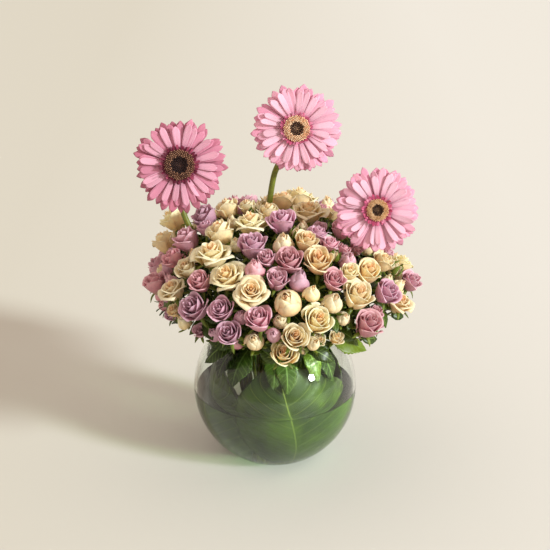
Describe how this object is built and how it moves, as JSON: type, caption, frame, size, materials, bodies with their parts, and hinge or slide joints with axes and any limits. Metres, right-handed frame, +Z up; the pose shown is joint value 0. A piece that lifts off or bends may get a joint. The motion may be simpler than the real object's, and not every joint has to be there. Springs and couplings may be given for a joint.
{
  "type": "flower arrangement in a vase",
  "caption": "Round clear glass bowl of water lined with broad leaves, holding a low dome of cream and mauve spray roses with tall pink gerberas above it.",
  "frame": {"origin": "centre of the vase's flat base, on the surface it stands on", "axes": "+Z up out of the vase, along the tallest gerbera; -Y is the front that the flowers' faces look to; +X is the right of the front"},
  "size_m": [0.3403, 0.3303, 0.463],
  "materials": {
    "clear_glass": "clear, polished, thin blown wall",
    "water": "clear water",
    "lining_leaf": "broad smooth leaf, dark green, half gloss",
    "cream_rose": "soft matt petals, cream to peach, on green stems",
    "mauve_rose": "soft matt petals, dusky mauve, on green stems",
    "gerbera_petal": "satin pink petals with fine lengthwise grooves",
    "gerbera_eye": "dense dark florets with a tan ring",
    "green_stem": "smooth olive green stem"
  },
  "bodies": {
    "root": {"cream_spray_01": "cream_rose", "cream_spray_02": "cream_rose", "cream_spray_03": "cream_rose", "cream_spray_04": "cream_rose", "cream_spray_05": "cream_rose", "cream_spray_06": "cream_rose", "cream_spray_07": "cream_rose", "cream_spray_08": "cream_rose", "cream_spray_09": "cream_rose", "cream_spray_10": "cream_rose", "cream_spray_11": "cream_rose", "cream_spray_12": "cream_rose", "cream_spray_13": "cream_rose", "cream_spray_14": "cream_rose", "cream_spray_15": "cream_rose", "cream_spray_16": "cream_rose", "cream_spray_17": "cream_rose", "gerbera_left_eye": "gerbera_eye", "gerbera_left_petals": "gerbera_petal", "gerbera_left_stem": "green_stem", "gerbera_middle_eye": "gerbera_eye", "gerbera_middle_petals": "gerbera_petal", "gerbera_middle_stem": "green_stem", "gerbera_right_eye": "gerbera_eye", "gerbera_right_petals": "gerbera_petal", "gerbera_right_stem": "green_stem", "glass_vase": "clear_glass", "lining_leaf_back": "lining_leaf", "lining_leaf_front": "lining_leaf", "lining_leaf_left": "lining_leaf", "mauve_spray_01": "mauve_rose", "mauve_spray_02": "mauve_rose", "mauve_spray_03": "mauve_rose", "mauve_spray_04": "mauve_rose", "mauve_spray_05": "mauve_rose", "mauve_spray_06": "mauve_rose", "mauve_spray_07": "mauve_rose", "mauve_spray_08": "mauve_rose", "mauve_spray_09": "mauve_rose", "mauve_spray_10": "mauve_rose", "mauve_spray_11": "mauve_rose", "mauve_spray_12": "mauve_rose", "mauve_spray_13": "mauve_rose", "mauve_spray_14": "mauve_rose", "mauve_spray_15": "mauve_rose", "water": "water"}
  },
  "joints": []
}
